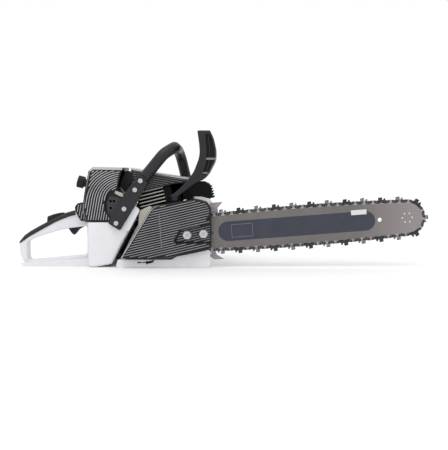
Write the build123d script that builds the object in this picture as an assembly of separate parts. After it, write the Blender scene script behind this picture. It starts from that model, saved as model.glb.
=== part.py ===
from build123d import *
import math
import os

# Petrol chainsaw. X runs towards the bar tip, Y away from the clutch side, Z up.
# The saw stands on Z = 0. All lengths are in mm.

# Engine
CRANK_X = -8.0
CRANK_Z = 67.0
CYLINDER_LEAN = 14.0        # degrees, towards the rear handle
BORE = 54.0
STROKE = 40.0
ROD_LENGTH = 74.0
PISTON_RADIUS = BORE / 2 - 0.05
PIN_TO_CROWN = 20.0
WEB_RADIUS = 35.5
SHAFT_RADIUS = 8.0
SEAT_HEIGHT = 42.0          # cylinder foot above the crank centre

# Bar and chain
BAR_Y = -62.0
BAR_LEAN = 4.35             # degrees, tip up
BAR_THICKNESS = 4.7
RAIL_ROOT = 32.0            # half height where the rails begin
RAIL_MIDDLE = 38.2
NOSE_RADIUS = 33.0
NOSE_CENTRE = 542.0         # from the crank centre, along the bar
GROOVE_DEPTH = 6.5
GROOVE_WIDTH = 1.7
STUD_REACH = (62.8, 98.0)   # from the crank centre, along the bar
RIVET_HEIGHT = 3.9          # above the rail
SPROCKET_PITCH_RADIUS = 21.4
DRIVE_LINKS = 66

# Cross positions of the engine layers
CASE_HALF = 38.0
FLANGE = 4.0
COVER_FACE = -90.0
HOUSING_FACE = 94.0

# Hand guard pivot
GUARD_X = 28.0
GUARD_Z = 151.0

# Air side
CARB_Z = 134.0
THROTTLE_X = -118.0
KNOB_ORIGIN = (-173, 0, 181)
KNOB_LEAN = 15.0
ADJUSTERS = [(-113, 144), (-105.5, 144), (-113, 129)]

# Spark plug seat and the way it points, out of the cylinder
PLUG_ROOT = (-43, 0, 183)
PLUG_DIRECTION = (-0.89, 0, 0.456)

# Screw and bolt places seen from the side, as (x, z)
HANDLEBAR_SCREWS = [(-98.5, 97), (-81, 128), (-57.5, 169), (-45.5, 188.5)]
SPIKE_BOLTS = [(102.5, 30), (102.5, 121)]
STARTER_SCREWS = [(-52, 22), (42, 22), (-60, 92), (38, 106)]

CRANK = Location((CRANK_X, 0, CRANK_Z), (0, 0, 0))
CYLINDER = Location((CRANK_X, 0, CRANK_Z), (0, -CYLINDER_LEAN, 0))
BAR = Location((CRANK_X, BAR_Y, CRANK_Z), (0, -BAR_LEAN, 0))

UP = (Align.CENTER, Align.CENTER, Align.MIN)

# Outlines seen from the side, as (x, z)
HANDLE_SEAM = [(-325, 48), (-302, 64), (-280, 76.5), (-246, 95), (-212, 108), (-198, 111.5)]
HANDLE_CREST = [(-198, 122.5), (-218, 117), (-246, 104.5), (-280, 86.5), (-302, 74), (-314, 65), (-324, 53)]
HAND_OPENING = [(-307, 52), (-280, 63.5), (-235, 77), (-214, 81.5), (-172.5, 86.5), (-172.5, 20.5),
                (-307, 8.5)]
CASE = [(-103, 0), (101, 0), (101, 37), (106, 60), (110, 118), (108, 131), (98, 145), (70, 150),
        (40, 133), (16, 116.2), (-52, 99.3)]
CLUTCH_COVER = [(-88, 22), (-22, 128), (-2, 137), (72, 149.5), (98, 143), (106.5, 130), (106.5, 44),
                (78, 35.5), (32, 27), (-30, 20)]
COVER_CORNERS = [3, 18, 18, 18, 8, 8, 6, 18, 18, 18]
NUT_POCKET = [(25, 55), (40.5, 84), (78, 92), (112, 98), (112, 55)]
POCKET_CORNERS = [5, 8, 0, 0, 0]
STARTER = [(-60, 12), (52, 12), (62, 60), (62, 104), (30, 138), (-20, 132), (-58, 100), (-68, 60)]
FILTER_COVER = [(-170, 98.5), (-176, 125), (-171, 160), (-161, 210), (-152, 218.5), (-86, 217),
                (-91, 200), (-98, 171), (-118, 162), (-126, 141), (-124, 124), (-113, 108), (-112, 98.5)]
FILTER_CORNERS = [0, 10, 30, 6, 8, 0, 10, 8, 10, 10, 10, 5, 0]
GROMMET = [(-122, 104), (-92, 104), (-88, 150), (-116, 156), (-122, 138)]
MUFFLER = [(50, 62), (50, 103), (66, 106), (124, 92), (135, 83), (135, 48), (96, 64.6)]
MUFFLER_CORNERS = [3, 3, 5, 5, 8, 8, 3]
SHROUD_TOP = [(-69, 216.5), (-27, 208), (53, 195), (62, 191.5)]
GUARD_REAR = [(17, 155.5), (28, 163.5), (47, 180), (68.5, 207), (78, 231.5), (82.3, 246), (80.5, 268),
              (76.5, 296.5)]
GUARD_FRONT = [(104, 296.5), (111.5, 281), (116.8, 257), (116.8, 234), (104, 209), (90, 190.5), (71, 182.5),
               (47, 163.5), (33.5, 152.8)]
GUARD_REAR_BENDS = [0, 0, 60, 60, 60, 60, 60, 3]
GUARD_FRONT_BENDS = [3, 40, 40, 40, 40, 40, 40, 0, 0]


def outline(points, radius=0):
    return make_face(FilletPolyline(*points, radius=radius, close=True))


def slab(points, y_low, y_high, radius=0):
    profile = Plane.XZ.offset(-y_high) * outline(points, radius)
    return extrude(profile, amount=y_high - y_low, dir=(0, -1, 0))


def inner_slab(points, wall, y_low, y_high, radius=0):
    profile = Plane.XZ.offset(-y_high) * offset(outline(points, radius), -wall, kind=Kind.INTERSECTION)
    return extrude(profile, amount=y_high - y_low, dir=(0, -1, 0))


def post(x, z, radius, y_low, y_high):
    return Pos(x, (y_low + y_high) / 2, z) * Rot(90, 0, 0) * Cylinder(radius, y_high - y_low)


def ring(x, z, outer, inner, y_low, y_high):
    return post(x, z, outer, y_low, y_high) - post(x, z, inner, y_low, y_high)


def rod(start, end, radius):
    reach = Vector(*end) - Vector(*start)
    return Plane(origin=start, z_dir=reach) * Cylinder(radius, reach.length, align=UP)


def block(x, y, z):
    size = (x[1] - x[0], y[1] - y[0], z[1] - z[0])
    return Pos((x[0] + x[1]) / 2, (y[0] + y[1]) / 2, (z[0] + z[1]) / 2) * Box(*size)


def hexagon(x, z, across, y_low, y_high):
    profile = Plane.XZ.offset(-y_high) * Pos(x, z) * RegularPolygon(across / 2, 6, major_radius=False)
    return extrude(profile, amount=y_high - y_low, dir=(0, -1, 0))


def flat_edges(solid, y):
    """Edges that lie in the plane at this y."""
    chosen = []
    for edge in solid.edges():
        box = edge.bounding_box()
        if abs(box.min.Y - y) < 0.05 and abs(box.max.Y - y) < 0.05:
            chosen.append(edge)
    return chosen


def along(points, edge):
    """True for an edge whose middle lies on this side-view outline."""
    middle = edge.center()
    line = Polyline(*[(x, 0, z) for x, z in points])
    return line.distance_to(Vector(middle.X, 0, middle.Z)) < 1.5


def group(shapes):
    solids = []
    for shape in shapes:
        solids.extend(shape.solids())
    return Compound(solids)


def tube(points, radius, bend, start_dir):
    path = FilletPolyline(*points, radius=bend)
    section = Plane(origin=points[0], z_dir=start_dir) * Circle(radius)
    return sweep(section, path=path)


# ---------------------------------------------------------------- handle unit

def rear_handle():
    loop = HANDLE_SEAM + [(-198, 122), (-178, 122), (-178, 98), (-160, 98), (-160, 0),
                          (-306, 0), (-318, 8), (-325.5, 30)]
    body = slab(loop, -17, 17, [0] * 7 + [4, 3, 0, 0, 8, 8, 12])
    for y in (-17, 17):
        outer = [e for e in flat_edges(body, y) if e.center().Z < 9 or e.center().X < -318]
        body = fillet(outer, 6)
    body -= slab(HAND_OPENING, -20, 20, [6, 0, 0, 0, 5, 12, 8])
    for y in (-17, 17):
        inner = [e for e in flat_edges(body, y) if -312 < e.center().X < -170.5 and 6.2 < e.center().Z < 90]
        body = fillet(inner, 3)
    foot = [(-313, 0), (-160, 0), (-160, 16), (-184, 15), (-299, 7), (-313, 6)]
    return body + slab(foot, -45, 35, [3, 0, 0, 2, 2, 2])


def tank_housing():
    hull = [(-162, 0), (-148, 0), (-126, 4), (-111, 7), (-62, 98), (-162, 98)]
    tank = slab(hull, -70, 70, [4, 0, 0, 3, 0, 0])
    for y in (-70, 70):
        tank = fillet([e for e in flat_edges(tank, y) if e.center().Z < 97], 6)
    body = rear_handle() + tank
    body -= slab([(-157, 6), (-128, 10), (-118, 13), (-72, 92), (-157, 92)], -64, 64, 3)
    rib = [(-111, 80), (-72, 80), (-48, 125), (-60, 136), (-114, 97)]
    body += slab(rib, -72, -61, [0, 0, 6, 6, 0])
    body += slab(rib, 61, 72, [0, 0, 6, 6, 0])
    # low arm under the starter that carries the far end of the handlebar
    body += block((-150, 92), (44, 80), (0, 9))
    body -= slab([(-221, 70), (-221, 101.5), (-175, 107), (-175, 70)], -7, 7)
    body -= lockout_pocket()
    body -= post(-186, 93, 2.5, -14, 14)
    body -= block((-180, -158), (-5, 5), (99, 108))
    body -= post(-140, 48, 13, 60, 75)
    body -= handlebar_bolt_holes()
    return body - post(-189, 114, 3.05, 11, 20)


def stop_switch():
    lever = slab([(-193, 118), (-185, 118), (-186, 108), (-194, 96), (-199, 98)], 17.4, 22, [4, 4, 2, 2, 2])
    return lever + post(-189, 114, 3, 12, 18)


def lockout_pocket():
    return slab([(-267, 80), (-267, 125), (-223, 125), (-223, 100)], -6, 6)


def handle_grip():
    strip = slab(HANDLE_SEAM + HANDLE_CREST, -19, 19)
    crest = [edge for y in (-19, 19) for edge in flat_edges(strip, y) if along(HANDLE_CREST, edge)]
    strip = fillet(crest, 7)
    strip -= lockout_pocket()
    strip -= post(-229, 108, 2.0, -14, 14)
    return strip


def throttle_trigger():
    blade = [(-216.5, 81), (-213, 95), (-190, 99.5), (-181, 97), (-178.5, 86), (-192, 78.5),
             (-200.5, 68), (-204.5, 65.5), (-209, 70)]
    lever = slab(blade, -6, 6, [3, 3, 2, 2, 2, 8, 4, 3, 8])
    return lever - post(-186, 93, 2.55, -8, 8)


def throttle_lockout():
    paddle = [(-264.5, 92), (-263.4, 107.5), (-247.5, 113), (-236, 115.4), (-225.5, 116.5),
              (-224.5, 106), (-232, 102), (-250, 94.5)]
    return slab(paddle, -5.5, 5.5, [2, 4, 8, 8, 4, 3, 4, 3]) - post(-229, 108, 2.05, -8, 8)


def fuel_cap():
    cap = post(-140, 48, 18, 70.3, 79) + post(-140, 48, 12.7, 62, 70.3)
    return cap - block((-160, -120), (75, 80), (46, 50)) + block((-156, -124), (75, 79), (46.7, 49.3))


def fuel_pickup():
    return rod((-146, 20, 24), (-146, 20, 92), 3) + rod((-146, 20, 9), (-146, 20, 24), 7)


def av_mounts():
    slope = math.atan2(91, 49)
    along = (math.cos(slope), math.sin(slope))
    across = (math.sin(slope), -math.cos(slope))
    buffers = []
    for y in (-28, 28):
        for reach in (18, 88):
            x = -111 + reach * along[0]
            z = 7 + reach * along[1]
            end = (x + 12 * across[0], y, z + 12 * across[1])
            buffers.append(rod((x, y, z), end, 8))
    return group(buffers) - slab(CASE, -60, 60)


# ---------------------------------------------------------------- handlebar

def handlebar_bolt_holes():
    holes = [post(x, z, 2.5, -72.5, -62) for x, z in HANDLEBAR_SCREWS[:2]]
    holes += [post(x, 4.5, 2.5, 68, 82) for x in (72, 86)]
    return Compound(holes)


def handlebar():
    plate = [(-117, 97), (-91, 81), (-57, 136), (-31, 182), (-34, 196), (-46, 207), (-81, 160)]
    path = [(-70, -74, 156), (4, -74, 246), (26, -56, 261), (25, 98, 259), (31, 119, 243), (77, 119, 50),
            (80, 92, 11)]
    first_run = (74, 0, 90)
    bar = tube(path, 12.5, 28, first_run) - tube(path, 10.3, 28, first_run)
    bar -= slab(plate, -90, -80)
    bracket = slab(plate, -80, -72, [4, 4, 0, 4, 4, 6, 0])
    bar += fillet(flat_edges(bracket, -80), 1.5)
    bar += slab([(64, 0), (94, 0), (94, 22), (80, 26), (64, 22)], 80, 86, 3)
    for x, z in HANDLEBAR_SCREWS:
        bar -= post(x, z, 2.5, -90, -62)
    for x in (72, 86):
        bar -= post(x, 4.5, 2.5, 79, 100)
    bar -= block((50, 110), (86, 110), (-20, 9.5))
    return bar


def body_screws():
    screws = []
    for x, z in HANDLEBAR_SCREWS:
        head = post(x, z, 5, -83.5, -80) - hexagon(x, z, 4.5, -84, -81.5)
        screws.append(head + post(x, z, 2.5, -80, -64))
    for x in (72, 86):
        screws.append(post(x, 4.5, 4.4, 86, 89) + post(x, 4.5, 2.5, 70, 86))
    for x, z in SPIKE_BOLTS:
        screws.append(post(x, z, 2.5, -54, -40) + hexagon(x, z, 8, -57, -54))
    for x, z in STARTER_SCREWS:
        screws.append(post(x, z, 4, HOUSING_FACE, HOUSING_FACE + 2.5))
    return group(screws)


# ---------------------------------------------------------------- air side

def filter_cover():
    shell = slab(FILTER_COVER, -64, 64, FILTER_CORNERS)
    rims = [edge for edge in shell.edges() if abs(edge.center().Y) > 63.9 and edge.center().Z > 211]
    shell = fillet(rims, 8)
    shell -= inner_slab(FILTER_COVER, 2.5, -56, 56)
    shell -= inner_slab(FILTER_COVER, 2.5, -61.5, 61.5) & block((-200, -60), (-70, 70), (80, 209))
    # open underneath and towards the engine
    shell -= block((-167.5, -80), (-61.5, 61.5), (90, 110))
    shell -= block((-130, -70), (-61.5, 61.5), (90, 209))
    # notch for the throttle rod
    shell -= block((-180, -165), (-5, 5), (98, 109))
    # the round lobe over the root of the handle, and its skirt on the clutch side
    lobe = [(-197, 123), (-197, 131), (-191, 138), (-172, 141), (-172, 123)]
    shell += slab(lobe, -28, 28, [2, 6, 5, 0, 0])
    skirt = [(-172, 98.5), (-184, 98.5), (-190, 108), (-196, 121), (-196, 126), (-172, 126)]
    shell += slab(skirt, -28, -17.5, [0, 3, 8, 6, 0, 0])
    return shell - knob_axis(4.0, -40, 40)


def knob_axis(radius, low, high):
    lean = math.radians(KNOB_LEAN)
    rear = (-math.cos(lean), 0, math.sin(lean))
    ends = [tuple(o + d * t for o, d in zip(KNOB_ORIGIN, rear)) for t in (low, high)]
    return rod(ends[0], ends[1], radius)


def filter_knob():
    knob = knob_axis(13.5, 8, 22) + knob_axis(9, 1.5, 8) + knob_axis(3.7, -22, 1.5)
    frame = Location(KNOB_ORIGIN, (0, KNOB_LEAN - 90, 0))
    for index in range(12):
        groove = Rot(0, 0, 30 * index) * Pos(14.2, 0, 15) * Cylinder(1.6, 20)
        knob -= frame * groove
    return knob


def air_filter():
    body = slab([(-160, 124), (-156, 196), (-136, 200), (-131, 200), (-131, 124)], -50, 50, [6, 6, 0, 0, 0])
    body -= rod((-150, 0, CARB_Z), (-130, 0, CARB_Z), 13)
    body -= block((-162, -128), (22, 34), (120, 132))
    return body - knob_axis(4.5, -40, 20)


def carb_box():
    box = slab([(-128, 98), (-84, 98), (-84, 150), (-100, 172), (-128, 172)], -58, 58)
    box -= slab([(-129, 101), (-87, 101), (-87, 149), (-101.5, 169), (-129, 169)], -55, 55)
    box += block((-131, -128), (-58, 58), (98, 198))
    box -= block((-88, -83), (-17, 17), (104, 146))
    box -= slab(GROMMET, -59, -54, 3)
    box -= block((-132, -127), (24, 33), (120, 130))
    return box - rod((-140, 0, CARB_Z), (-120, 0, CARB_Z), 15)


def adjuster_grommet():
    plate = slab(GROMMET, -58, -55, 3) + inner_slab(GROMMET, 1.5, -60.5, -58)
    for x, z in ADJUSTERS:
        plate -= post(x, z, 3, -62, -50)
    return plate


def carburettor():
    body = block((-126, -98), (-22, 22), (116, 154)) + rod((-131, 0, CARB_Z), (-126, 0, CARB_Z), 15)
    body += rod((-98, 0, 131), (-92, 0, 131), 14)
    body -= rod((-140, 0, CARB_Z), (-110, 0, CARB_Z), 12)
    body -= rod((-111, 0, CARB_Z), (-90, 0, 130.5), 9.5)
    body -= post(THROTTLE_X, CARB_Z, 2.55, -30, 30)
    adjusters = []
    for x, z in ADJUSTERS:
        body -= post(x, z, 2.2, -23, -16)
        screw = post(x, z, 2.2, -51, -16)
        adjusters.append(screw - block((x - 3, x + 3), (-52, -50), (z - 0.4, z + 0.4)))
    return group([body] + adjusters)


def throttle_shaft():
    shaft = post(THROTTLE_X, CARB_Z, 2.5, -28, 29)
    plate = Location((THROTTLE_X, 0, CARB_Z), (0, 80, 0)) * Cylinder(10.5, 1)
    arm = slab([(-120.5, 137), (-115.5, 137), (-116, 124), (-120, 124)], 26, 29, 1.5)
    return shaft + plate + arm


def throttle_rod():
    points = [(-176.5, 0, 105), (-166, 0, 105), (-148, 28, 126), (-123, 28, 126)]
    return tube(points, 1.5, 8, (1, 0, 0))


def intake_boot():
    port = CYLINDER * Location((-34, 0, 62))
    start = (port.position.X, 0, port.position.Z)
    lean = math.radians(CYLINDER_LEAN)
    points = [start, (start[0] - 15 * math.cos(lean), 0, start[2] - 15 * math.sin(lean)), (-96, 0, 133)]
    direction = (-math.cos(lean), 0, -math.sin(lean))
    boot = tube(points, 15, 18, direction) - tube(points, 12, 18, direction)
    return boot - block((-110, -92), (-30, 30), (90, 160))


# ---------------------------------------------------------------- crankcase and cylinder

def case_body(y_low, y_high):
    body = slab(CASE, y_low, y_high, [6, 6, 3, 3, 3, 8, 8, 3, 3, 2, 2])
    body -= post(CRANK_X, CRANK_Z, 38, -22, 22)
    body -= post(CRANK_X, CRANK_Z, 46, -9.5, 9.5)
    body -= CYLINDER * (Pos(0, 0, 10) * Cylinder(29.5, 60, align=UP))
    body -= post(CRANK_X, CRANK_Z, 20, -34, 34)
    body -= post(CRANK_X, CRANK_Z, 14, -38, 38)
    # oil tank
    body -= slab([(50, 12), (93, 12), (93, 40), (101, 110), (94, 132), (62, 132), (50, 100)], -30, 30, 5)
    return body


def crankcase_right():
    body = case_body(-CASE_HALF, 0)
    body += slab(CASE, -CASE_HALF - FLANGE, -CASE_HALF, [6, 6, 3, 3, 3, 8, 8, 3, 3, 2, 2])
    body -= post(CRANK_X, CRANK_Z, 18, -45, -CASE_HALF)
    body += base_sill()
    body += case_shoulder()
    body += nose_arch()
    body += slab([(42, 52), (105, 56), (105, 92), (42, 88)], BAR_Y + BAR_THICKNESS / 2, -CASE_HALF, 6)
    for reach in STUD_REACH:
        x, z = on_bar(reach, 0)
        body -= post(x, z, 4, -60, -36)
    ear = [(14, 112), (44, 125), (40, 154), (33, 162), (22, 162), (16, 154)]
    body += slab(ear, -66, -46.5, [0, 0, 6, 6, 6, 6])
    body += slab([(14, 112), (44, 125), (44, 135), (14, 120)], -66, -CASE_HALF)
    body -= post(GUARD_X, GUARD_Z, 4, -67, -46)
    body += block((97, 106), (-50, -CASE_HALF), (24, 36)) + block((98, 108), (-50, -CASE_HALF), (112, 128))
    for x, z in SPIKE_BOLTS:
        body -= post(x, z, 2.5, -51, -40)
    return body


def base_sill():
    # the sill under the clutch cover, with a lip that stands in front of the chain's lower run
    sill = slab([(-101, 3), (-97, 0), (99, 0), (104, 6), (104, 17), (-97, 17)], -72, -CASE_HALF, 2)
    lip = [(14, 14), (104, 14), (104, 38), (98, 38), (78, 33), (32, 24), (20, 17)]
    return sill + slab(lip, -72, -69.5, [0, 0, 3, 0, 5, 5, 0])


def case_shoulder():
    upper = [(-53, 90), (-52, 114), (-48, 124.5), (-29, 133), (-22.5, 131), (-35, 112), (-48.5, 90)]
    foot = [(-53, 84), (-53, 98.5), (-44, 98.5), (-52, 84)]
    return slab(upper, -58, -46.8, [0, 3, 3, 2, 2, 0, 0]) + slab(foot, -58, -CASE_HALF - FLANGE)


def nose_arch():
    # rounded rib of the casting above and ahead of the clutch cover
    arch = [(98, 104), (113.5, 114), (112.5, 133), (104, 148.5), (86, 153), (68, 153.5), (70, 147),
            (96, 141), (98, 130)]
    root = [(98, 104), (110, 112), (108, 131), (98, 140)]
    return slab(arch, -49.5, -45.8, [0, 4, 8, 10, 5, 0, 0, 8, 0]) + slab(root, -45.8, -CASE_HALF - FLANGE)


def crankcase_left():
    body = case_body(0, CASE_HALF)
    back = slab(STARTER, CASE_HALF, CASE_HALF + 2, 8)
    back -= post(CRANK_X, CRANK_Z, 18, CASE_HALF, CASE_HALF + 2)
    back -= CYLINDER * block((-60, 60), (-60, 60), (SEAT_HEIGHT, 140))
    body += back
    body -= post(80, 46, 11, 28, 40)
    return body


def on_bar(reach, height):
    lean = math.radians(BAR_LEAN)
    x = CRANK_X + reach * math.cos(lean) - height * math.sin(lean)
    z = CRANK_Z + reach * math.sin(lean) + height * math.cos(lean)
    return x, z


def main_bearings():
    bore = SHAFT_RADIUS + 0.05
    rings = []
    for side in (-1, 1):
        bearing = sorted((side * 23, side * 34))
        seal = sorted((side * 34, side * 38))
        rings.append(ring(CRANK_X, CRANK_Z, 20, bore, *bearing))
        rings.append(ring(CRANK_X, CRANK_Z, 14, bore, *seal))
    return group(rings)


def crankshaft():
    clutch_end = post(CRANK_X, CRANK_Z, WEB_RADIUS, -21, -9) + post(CRANK_X, CRANK_Z, SHAFT_RADIUS, -70, -21)
    starter_end = post(CRANK_X, CRANK_Z, WEB_RADIUS, 9, 21) + post(CRANK_X, CRANK_Z, SHAFT_RADIUS, 21, 66)
    return group([clutch_end, starter_end])


def piston_height():
    return ROD_LENGTH + STROKE / 2


def piston():
    pin = piston_height()
    body = Pos(0, 0, pin - 14) * Cylinder(PISTON_RADIUS, 14 + PIN_TO_CROWN, align=UP)
    body -= Pos(0, 0, pin - 14) * Cylinder(23, 14 + PIN_TO_CROWN - 6, align=UP)
    for side in (-1, 1):
        body += Pos(0, side * 16.5, pin) * Rot(90, 0, 0) * Cylinder(9, 13)
    body = body & Pos(0, 0, pin - 14) * Cylinder(PISTON_RADIUS, 14 + PIN_TO_CROWN, align=UP)
    body -= Pos(0, 0, pin) * Rot(90, 0, 0) * Cylinder(5.5, 60)
    for drop in (4, 8):
        groove = Pos(0, 0, pin + PIN_TO_CROWN - drop - 1.5)
        body -= groove * (Cylinder(30, 1.5, align=UP) - Cylinder(25, 1.5, align=UP))
    return CYLINDER * body


def piston_rings_and_pin():
    rings = []
    for drop in (4, 8):
        place = Pos(0, 0, piston_height() + PIN_TO_CROWN - drop - 1.5)
        outer = Cylinder(BORE / 2 - 0.02, 1.5, align=UP)
        rings.append(CYLINDER * place * (outer - Cylinder(25, 1.5, align=UP)))
    pin = Rot(90, 0, 0) * (Cylinder(5.5, 44) - Cylinder(3.5, 44))
    return group(rings + [CYLINDER * Pos(0, 0, piston_height()) * pin])


def connecting_rod():
    top = piston_height()
    low = top - ROD_LENGTH
    shank = Pos(0, 0, (top + low) / 2) * Box(12, 8, ROD_LENGTH)
    rod_body = shank + Pos(0, 0, top) * Rot(90, 0, 0) * Cylinder(8.5, 12)
    rod_body += Pos(0, 0, low) * Rot(90, 0, 0) * Cylinder(13.5, 13)
    rod_body -= Pos(0, 0, top) * Rot(90, 0, 0) * Cylinder(5.55, 20)
    rod_body -= Pos(0, 0, low) * Rot(90, 0, 0) * Cylinder(9, 20)
    crank_pin = Pos(0, 0, low) * Rot(90, 0, 0) * Cylinder(9, 16.8)
    return group([CYLINDER * rod_body, CYLINDER * crank_pin])


FIN_HEIGHTS = [56 + 7.5 * index for index in range(10)]


def plug_point(reach):
    return tuple(o + d * reach for o, d in zip(PLUG_ROOT, PLUG_DIRECTION))


def cylinder():
    body = Pos(0, 0, SEAT_HEIGHT) * Cylinder(33, 84, align=UP)
    body += Pos(0, 0, SEAT_HEIGHT) * Box(66, 60, 7, align=UP)
    body += Pos(0, 0, SEAT_HEIGHT - 6) * Cylinder(29.3, 6, align=UP)
    for height in FIN_HEIGHTS[:-1]:
        body += Pos(3.5, 0, height) * extrude(RectangleRounded(89, 92, 20), amount=2.2)
    body += Pos(0, 0, FIN_HEIGHTS[-1]) * extrude(RectangleRounded(82, 92, 20), amount=2.2)
    body += Pos(41, 0, 84) * Box(18, 44, 30)
    body += Pos(-31, 0, 62) * Box(6, 46, 34)
    body -= Pos(0, 0, SEAT_HEIGHT - 6) * Cylinder(BORE / 2, 116 - SEAT_HEIGHT + 6, align=UP)
    body -= Pos(20, 0, 84) * Rot(0, 90, 0) * Cylinder(11, 40, align=UP)
    body -= Pos(-20, 0, 62) * Rot(0, -90, 0) * Cylinder(12, 40, align=UP)
    body -= Pos(-60, 0, 62) * Box(52, 50, 36)
    body = CYLINDER * body
    body -= rod(plug_point(4), plug_point(60), 13)
    body -= rod(plug_point(-1), plug_point(5), 5) + rod(plug_point(-8), plug_point(0), 3)
    body -= block((-110, -60), (-14.5, 14.5), (170, 220))
    return body - valve_column(5, 112, 140)


def spark_plug():
    plug = rod(plug_point(-6), plug_point(0), 3) + rod(plug_point(0), plug_point(4), 5)
    return plug + rod(plug_point(4), plug_point(13), 9) + rod(plug_point(13), plug_point(32), 5)


def plug_boot():
    wedge = [(-84, 211), (-69, 206), (-66, 201), (-80, 167.5), (-87, 161), (-98, 174), (-96.5, 185)]
    return slab(wedge, -13, 13, [4, 2, 2, 4, 3, 4, 10]) - rod(plug_point(0), plug_point(32), 5)


def ignition_coil():
    coil = block((58, 70), (49, 60), (-14, 14))
    for z in (-14, 8):
        coil += block((46.6, 58), (49, 60), (z, z + 6))
    return CRANK * Rot(0, -50, 0) * coil


def ignition_lead():
    points = [(-90, 13, 199), (-90, 53, 199), (-50, 53, 188), (16, 53, 160), (34, 53, 126)]
    return tube(points, 3.2, 12, (0, 1, 0)) - ignition_coil()


def muffler():
    box = slab(MUFFLER, -45, 42, MUFFLER_CORNERS)
    ribs = slab(MUFFLER, -46, 43, MUFFLER_CORNERS)
    for reach in (84, 88):
        box += ribs & Pos(reach, 0, 80) * Box(2, 100, 70)
    for height in range(54, 84, 6):
        box += Pos(135, 0, height) * Box(6, 76, 2.5)
    box -= inner_slab(MUFFLER, 2.5, -42.5, 39.5, MUFFLER_CORNERS)
    box -= Pos(45, 0, 84) * Rot(0, 90, 0) * Cylinder(11, 12, align=UP)
    box -= Pos(128, -20, 70) * Box(24, 26, 10)
    return CYLINDER * box


def cylinder_shroud():
    near = SHROUD_TOP + [(44, 184), (20, 181), (-28, 168.5), (-52, 162), (-62, 172), (-66, 200)]
    shell = slab(near, -60, 60)
    rims = [edge for y in (-60, 60) for edge in flat_edges(shell, y) if along(SHROUD_TOP, edge)]
    shell = fillet(rims, 5)
    under_roof = [(-75, 213.7), (-27, 204.5), (52, 191.5), (68, 187.3), (68, 150), (-75, 150)]
    return shell - slab(under_roof, -57.5, 57.5) - valve_column(7, 125, 160)


def valve_column(radius, low, high):
    return CYLINDER * Pos(20, 18, low) * Cylinder(radius, high - low, align=UP)


def decompression_valve():
    return valve_column(5, 116, 130) - valve_column(2.55, 118, 140)


def decompression_button():
    return valve_column(2.5, 124, 139.5) + valve_column(6, 139.5, 145)


# ---------------------------------------------------------------- clutch, sprocket and cover

def oil_pump():
    return ring(CRANK_X, CRANK_Z, 18, 9, -CASE_HALF - FLANGE, -CASE_HALF)


def clutch_shoes():
    body = post(CRANK_X, CRANK_Z, 35.4, -54.5, -43.5) - post(CRANK_X, CRANK_Z, 17, -54.5, -43.5)
    for angle in (0, 120, 240):
        slot = CRANK * Rot(0, angle, 0) * Pos(27, -49, 0) * Box(24, 14, 5)
        body -= slot
    arms = post(CRANK_X, CRANK_Z, 16, -54.5, -43.5)
    for angle in (60, 180, 300):
        arms += CRANK * Rot(0, angle, 0) * Pos(12, -49, 0) * Box(18, 11, 12)
    arms -= post(CRANK_X, CRANK_Z, SHAFT_RADIUS, -60, -40)
    return body + arms


def clutch_drum():
    drum = post(CRANK_X, CRANK_Z, 38.5, -57.6, -42.6) - post(CRANK_X, CRANK_Z, 36, -55.6, -42)
    drum += post(CRANK_X, CRANK_Z, 11.6, -66.5, -57)
    return drum - post(CRANK_X, CRANK_Z, 10, -70, -50)


def drum_bearing():
    cage = ring(CRANK_X, CRANK_Z, 9.95, SHAFT_RADIUS, -66.5, -56)
    clip = ring(CRANK_X, CRANK_Z, 12, SHAFT_RADIUS, -68.3, -66.8)
    return group([cage, clip])


def rim_sprocket():
    rim = ring(CRANK_X, CRANK_Z, 17.2, 11.6, -66.5, -58)
    rim -= ring(CRANK_X, CRANK_Z, 18, 12.4, BAR_Y - 1.4, BAR_Y + 1.4)
    for index in range(7):
        notch = CRANK * Rot(0, index * 360 / 7, 0) * Pos(18.2, BAR_Y, 0) * Rot(90, 0, 0) * Cylinder(2.6, 12)
        rim -= notch
    return rim


def brake_band():
    band = ring(CRANK_X, CRANK_Z, 40.2, 39, -55, -44)
    band -= block((CRANK_X, 60), (-60, -40), (CRANK_Z - 4, CRANK_Z + 14))
    band += block((29, 31.5), (-55, -44), (CRANK_Z + 14, CRANK_Z + 40))
    band += post(-48, 67, 4, -55, -42)
    return band - post(CRANK_X, CRANK_Z, 39, -60, -40)


def clutch_cover():
    back = -CASE_HALF - FLANGE
    cover = slab(CLUTCH_COVER, COVER_FACE, back, COVER_CORNERS)
    cover = fillet(flat_edges(cover, COVER_FACE), 2.5)
    cover -= inner_slab(CLUTCH_COVER, 3, COVER_FACE + 3, back)
    # mouth for the bar and chain
    cover -= block((84, 120), (-74, -40), (20, 129))
    cover -= block((20, 120), (-74, -40), (10, 60))
    cover -= slab(NUT_POCKET, -95, -80, POCKET_CORNERS)
    inside = slab(CLUTCH_COVER, COVER_FACE, -70, COVER_CORNERS)
    around = [(20, 51), (37, 88), (76, 96), (112, 103), (112, 51)]
    cup = slab(around, COVER_FACE + 3, -77) - slab(NUT_POCKET, -95, -80, POCKET_CORNERS)
    cover += cup & inside
    cover += slab([(44, 62), (105, 66), (105, 88), (44, 84)], -78, BAR_Y - BAR_THICKNESS / 2, 6)
    for reach in STUD_REACH:
        x, z = on_bar(reach, 0)
        cover -= post(x, z, 4.3, -95, -60)
    cover -= post(99.5, 107, 2.2, -95, -80)
    cover -= post(81, 74, 1.5, -95, -79)
    # room for the guard ear, the fins, the casting's arch and the spikes
    cover -= block((10, 48), (-68, -40), (108, 150))
    cover -= block((-45, 96), (-50, -40), (112, 152))
    return cover - block((95, 120), (-74, -40), (100, 150))


def bar_studs():
    studs = []
    for reach in STUD_REACH:
        x, z = on_bar(reach, 0)
        studs.append(post(x, z, 4, -91, -36))
    return group(studs)


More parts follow.
